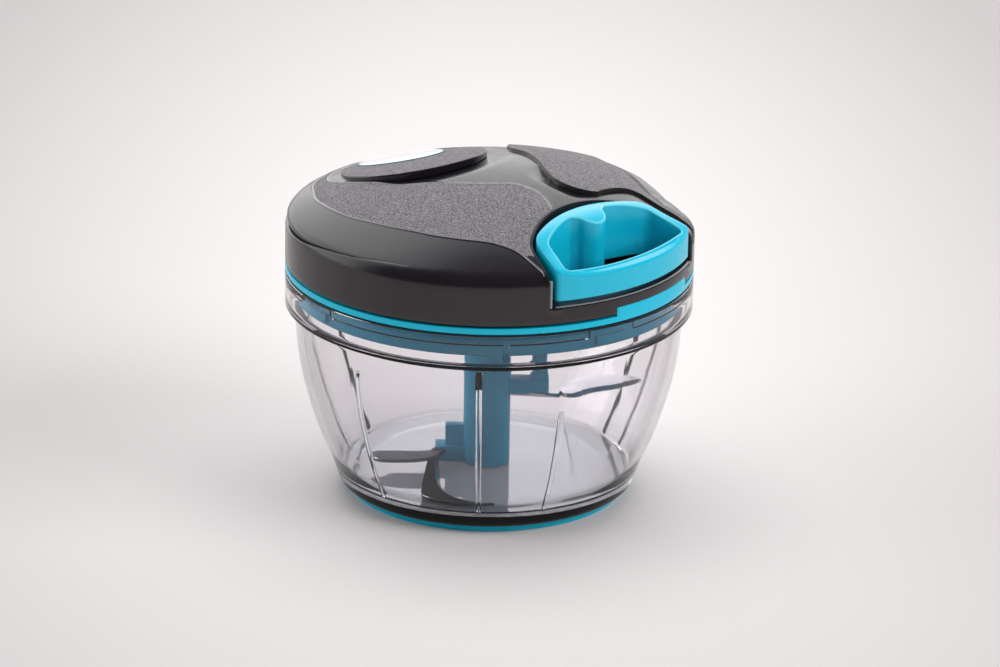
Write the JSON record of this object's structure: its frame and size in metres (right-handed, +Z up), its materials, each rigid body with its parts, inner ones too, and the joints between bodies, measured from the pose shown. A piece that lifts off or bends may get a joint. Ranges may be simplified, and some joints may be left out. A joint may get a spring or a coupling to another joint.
{
  "type": "pull-string food chopper",
  "caption": "Hand-held pull-string food chopper: clear bowl with ribbed wall, blade unit on a pivot pin, and a lid with a cord reel and pull handle.",
  "frame": {"origin": "centre of the base ring's underside, on the surface the chopper stands on", "axes": "+Z up along the bowl and blade axis; +X the way the pull handle comes out of the lid; metres"},
  "size_m": [0.125, 0.125, 0.1021],
  "materials": {
    "clear_plastic": "clear moulded styrene, polished",
    "teal_plastic": "satin-gloss injection moulding",
    "grey_plastic": "glossy, with two grained panels",
    "grey_grained": "fine grain",
    "white_plastic": "gloss",
    "white_nylon": "natural nylon",
    "blade_steel": "ground edge",
    "steel": "turned",
    "spring_steel": "blued strip",
    "black_rubber": "silicone",
    "teal_rubber": "soft grip",
    "cord": "braided polyester"
  },
  "bodies": {
    "bowl": {"bowl": "clear_plastic", "base_ring": "teal_rubber", "pivot_pin": "steel"},
    "blade_unit": {"blade_shaft": "teal_plastic", "lower_blade": "blade_steel", "middle_blade": "blade_steel", "upper_blade": "blade_steel"},
    "seal": {"lid_seal": "black_rubber"},
    "lid": {"lid_base": "teal_plastic", "lid_cover": "grey_plastic", "oval_cap": "grey_grained", "badge_rim": "teal_plastic", "badge_insert": "white_plastic", "reel_bush": "white_nylon", "reel_axle": "steel", "recoil_spring": "spring_steel", "spring_cover": "steel", "cord_eyelet": "steel", "cord_lead": "cord", "lid_screws": "steel"},
    "reel": {"reel": "white_nylon", "cord_winding": "cord", "drive_coupling": "white_nylon", "coupling_screw": "steel"},
    "handle": {"pull_handle": "teal_plastic", "cord_knot": "cord"}
  },
  "joints": [
    {"name": "lid_lift", "type": "slide", "parent": "bowl", "child": "seal", "axis": [0, 0, 1], "range_m": [0, 0.08]},
    {"name": "lid_twist", "type": "hinge", "parent": "seal", "child": "lid", "pos_m": [0, 0, 0.0704], "axis": [0, 0, 1], "range_deg": [-25, 0]},
    {"name": "handle_pull", "type": "slide", "parent": "lid", "child": "handle", "axis": [1, 0, 0], "range_m": [0, 0.5], "stiffness_N_per_m": 8, "springref_m": -0.6},
    {"name": "reel_spin", "type": "hinge", "parent": "lid", "child": "reel", "pos_m": [0, 0, 0.086], "axis": [0, 0, 1], "range_deg": [0, 1265]},
    {"name": "blade_spin", "type": "hinge", "parent": "bowl", "child": "blade_unit", "pos_m": [0, 0, 0.03], "axis": [0, 0, 1], "range_deg": [0, 1265]}
  ],
  "couplings": [
    {"joint": "reel_spin", "follows": "handle_pull", "rad_per_m": 44.053},
    {"joint": "blade_spin", "follows": "handle_pull", "rad_per_m": 44.053}
  ]
}
